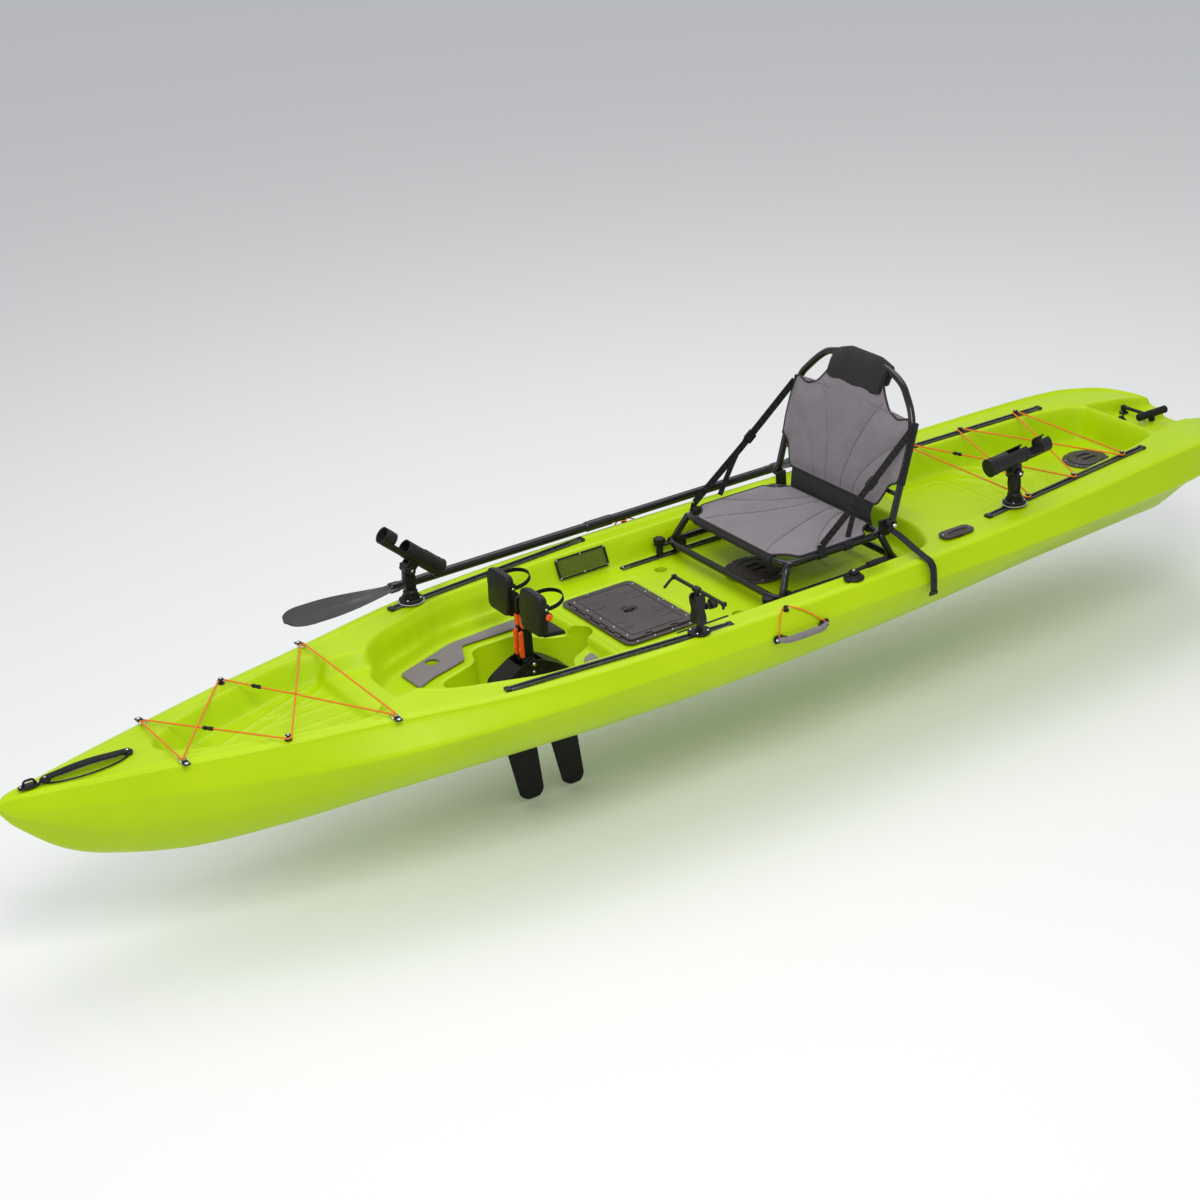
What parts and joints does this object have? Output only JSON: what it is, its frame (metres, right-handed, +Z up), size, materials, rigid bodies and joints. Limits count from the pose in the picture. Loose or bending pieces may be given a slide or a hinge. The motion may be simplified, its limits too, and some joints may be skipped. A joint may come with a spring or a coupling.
{
  "type": "pedal fishing kayak",
  "caption": "Sit-on-top fishing kayak with a swinging-fin pedal drive, folding framed seat, rod holders, storage wells and a paddle along the gunwale.",
  "frame": {"origin": "on the flat of the keel, amidships, under the widest part of the hull", "axes": "+X to the bow, +Y to port, +Z up"},
  "size_m": [4.1, 1.0304, 1.0671],
  "materials": {
    "hull_polyethylene": "satin rotomoulded polyethylene, lime green",
    "black_plastic": "moulded glass-filled nylon",
    "dark_plastic": "dark brown-grey moulded plastic",
    "black_rail": "black anodised extrusion",
    "steel_ring": "polished stainless wire on black webbing",
    "black_rubber": "matte rubber",
    "grey_rubber": "ribbed soft grip",
    "grey_foam": "closed-cell foam sheet",
    "orange_cord": "braided shock cord",
    "black_tube": "gloss powder coat",
    "seat_fabric": "padded grey woven fabric",
    "mesh_fabric": "open black mesh in a moulded frame"
  },
  "bodies": {
    "hull_assembly": {"hull": "hull_polyethylene", "track_front_port": "black_rail", "track_front_starboard": "black_rail", "track_rear_port": "black_rail", "track_rear_starboard": "black_rail", "seat_rail_port": "black_rail", "seat_rail_starboard": "black_rail", "bow_eye_front_port": "steel_ring", "bow_eye_front_starboard": "steel_ring", "bow_eye_rear_port": "steel_ring", "bow_eye_rear_starboard": "steel_ring", "bow_eye_middle_port": "black_plastic", "bow_eye_middle_starboard": "black_plastic", "bow_padeye": "black_plastic", "drive_housing": "black_plastic", "ball_mount_base": "black_plastic", "rudder_dial": "black_plastic", "bow_rod_holder_base": "black_plastic", "stern_rod_holder_base": "black_plastic", "bow_handle": "black_rubber", "stern_handle": "black_rubber", "bow_bungee": "orange_cord", "stern_bungee": "orange_cord", "foot_pad_port": "grey_foam", "foot_pad_starboard": "grey_foam", "hatch_frame": "dark_plastic", "cockpit_hatch_ring": "dark_plastic", "stern_hatch_ring": "dark_plastic", "flush_rod_holder_port": "dark_plastic", "flush_rod_holder_starboard": "dark_plastic", "mesh_pocket_port": "mesh_fabric", "mesh_pocket_starboard": "mesh_fabric", "side_handle_port": "grey_rubber", "side_handle_starboard": "grey_rubber"},
    "crank_port_arm": {"crank_port": "black_plastic"},
    "crank_starboard_arm": {"crank_starboard": "black_plastic"},
    "pedal_port_foot": {"pedal_port": "black_plastic"},
    "pedal_starboard_foot": {"pedal_starboard": "black_plastic"},
    "fin_front_blade": {"fin_front": "black_rubber"},
    "fin_rear_blade": {"fin_rear": "black_rubber"},
    "deck_hatch_lid": {"hatch_lid": "dark_plastic"},
    "deck_hatch_latch": {"hatch_latch": "black_plastic"},
    "cockpit_hatch_cover": {"cockpit_hatch_lid": "dark_plastic"},
    "stern_hatch_cover": {"stern_hatch_lid": "dark_plastic"},
    "seat_base": {"seat_base_frame": "black_tube", "seat_pan": "seat_fabric"},
    "seat_backrest": {"seat_back_frame": "black_tube", "seat_back": "seat_fabric"},
    "seat_knob_port_turner": {"seat_knob_port": "black_plastic"},
    "seat_knob_starboard_turner": {"seat_knob_starboard": "black_plastic"},
    "bow_rod_swivel": {"bow_rod_holder_post": "black_plastic"},
    "bow_rod_cradle": {"bow_rod_holder_cradle": "black_plastic"},
    "stern_rod_swivel": {"stern_rod_holder_post": "black_plastic"},
    "stern_rod_cradle": {"stern_rod_holder_cradle": "black_plastic"},
    "ball_mount_link": {"ball_mount_arm": "black_plastic"},
    "ball_mount_clamp_knob": {"ball_mount_knob": "black_plastic"},
    "ball_mount_tbar": {"ball_mount_bar": "black_plastic"},
    "rudder_control_lever": {"rudder_lever": "black_plastic"},
    "drain_plug": {"stern_drain_plug": "black_plastic"},
    "loose_paddle": {"paddle": "black_plastic"}
  },
  "joints": [
    {"name": "crank_port_swing", "type": "hinge", "parent": "hull_assembly", "child": "crank_port_arm", "pos_m": [0.528, 0, 0.192], "axis": [0, 1, 0], "range_deg": [-25, 25]},
    {"name": "crank_starboard_swing", "type": "hinge", "parent": "hull_assembly", "child": "crank_starboard_arm", "pos_m": [0.528, 0, 0.192], "axis": [0, 1, 0], "range_deg": [-25, 25]},
    {"name": "pedal_port_tilt", "type": "hinge", "parent": "crank_port_arm", "child": "pedal_port_foot", "pos_m": [0.526, 0, 0.378], "axis": [0, 1, 0], "range_deg": [-20, 20]},
    {"name": "pedal_starboard_tilt", "type": "hinge", "parent": "crank_starboard_arm", "child": "pedal_starboard_foot", "pos_m": [0.526, 0, 0.378], "axis": [0, 1, 0], "range_deg": [-20, 20]},
    {"name": "fin_front_flap", "type": "hinge", "parent": "hull_assembly", "child": "fin_front_blade", "pos_m": [0.578, 0, -0.012], "axis": [1, 0, 0], "range_deg": [-75, 75]},
    {"name": "fin_rear_flap", "type": "hinge", "parent": "hull_assembly", "child": "fin_rear_blade", "pos_m": [0.438, 0, -0.012], "axis": [1, 0, 0], "range_deg": [-75, 75]},
    {"name": "deck_hatch_open", "type": "hinge", "parent": "hull_assembly", "child": "deck_hatch_lid", "pos_m": [0.289, 0, 0.235], "axis": [0, 1, 0], "range_deg": [0, 105]},
    {"name": "deck_hatch_latch_turn", "type": "hinge", "parent": "deck_hatch_lid", "child": "deck_hatch_latch", "pos_m": [0.171, 0, 0.238], "axis": [0, 0, 1], "range_deg": [0, 90]},
    {"name": "cockpit_hatch_twist", "type": "hinge", "parent": "hull_assembly", "child": "cockpit_hatch_cover", "pos_m": [-0.285, 0, 0.235], "axis": [0, 0, 1], "range_deg": [0, 90]},
    {"name": "stern_hatch_twist", "type": "hinge", "parent": "hull_assembly", "child": "stern_hatch_cover", "pos_m": [-1.61, 0, 0.235], "axis": [0, 0, 1], "range_deg": [0, 90]},
    {"name": "seat_slide", "type": "slide", "parent": "hull_assembly", "child": "seat_base", "axis": [1, 0, 0], "range_m": [-0.03, 0.12]},
    {"name": "seat_back_fold", "type": "hinge", "parent": "seat_base", "child": "seat_backrest", "pos_m": [-0.582, 0, 0.385], "axis": [0, 1, 0], "range_deg": [0, 80]},
    {"name": "seat_knob_port_turn", "type": "hinge", "parent": "seat_base", "child": "seat_knob_port_turner", "pos_m": [-0.126, 0.285, 0.26], "axis": [0, 0, 1], "continuous": true},
    {"name": "seat_knob_starboard_turn", "type": "hinge", "parent": "seat_base", "child": "seat_knob_starboard_turner", "pos_m": [-0.126, -0.285, 0.26], "axis": [0, 0, 1], "continuous": true},
    {"name": "bow_rod_swivel_turn", "type": "hinge", "parent": "hull_assembly", "child": "bow_rod_swivel", "pos_m": [0.705, -0.343, 0.34], "axis": [0, 0, 1], "continuous": true},
    {"name": "bow_rod_tilt", "type": "hinge", "parent": "bow_rod_swivel", "child": "bow_rod_cradle", "pos_m": [0.705, -0.343, 0.4158], "axis": [0, -1, 0], "range_deg": [-42, 25]},
    {"name": "stern_rod_swivel_turn", "type": "hinge", "parent": "hull_assembly", "child": "stern_rod_swivel", "pos_m": [-1.05, 0.292, 0.35], "axis": [0, 0, 1], "continuous": true},
    {"name": "stern_rod_tilt", "type": "hinge", "parent": "stern_rod_swivel", "child": "stern_rod_cradle", "pos_m": [-1.05, 0.292, 0.42678], "axis": [0, 1, 0], "range_deg": [-6, 60]},
    {"name": "ball_mount_tilt", "type": "hinge", "parent": "hull_assembly", "child": "ball_mount_link", "pos_m": [0.184, 0.389, 0.3474], "axis": [0, 1, 0], "range_deg": [-20, 20]},
    {"name": "ball_mount_knob_turn", "type": "hinge", "parent": "ball_mount_link", "child": "ball_mount_clamp_knob", "pos_m": [0.15, 0.389, 0.38315], "axis": [1, 0, 0], "continuous": true},
    {"name": "ball_mount_bar_turn", "type": "hinge", "parent": "ball_mount_link", "child": "ball_mount_tbar", "pos_m": [0.184, 0.389, 0.4174], "axis": [0, 0, 1], "range_deg": [-90, 90]},
    {"name": "rudder_lever_turn", "type": "hinge", "parent": "hull_assembly", "child": "rudder_control_lever", "pos_m": [-0.361, 0.386, 0.33], "axis": [0, 0, 1], "range_deg": [-45, 45]},
    {"name": "drain_plug_turn", "type": "hinge", "parent": "hull_assembly", "child": "drain_plug", "pos_m": [-1.83, -0.07, 0.29], "axis": [0, 0, 1], "continuous": true},
    {"name": "paddle_lift", "type": "slide", "parent": "hull_assembly", "child": "loose_paddle", "axis": [0, 0, 1], "range_m": [0, 0.12]}
  ],
  "couplings": [
    {"joint": "crank_starboard_swing", "follows": "crank_port_swing", "ratio": -1},
    {"joint": "fin_front_flap", "follows": "crank_port_swing", "ratio": 3},
    {"joint": "fin_rear_flap", "follows": "crank_port_swing", "ratio": -3}
  ]
}
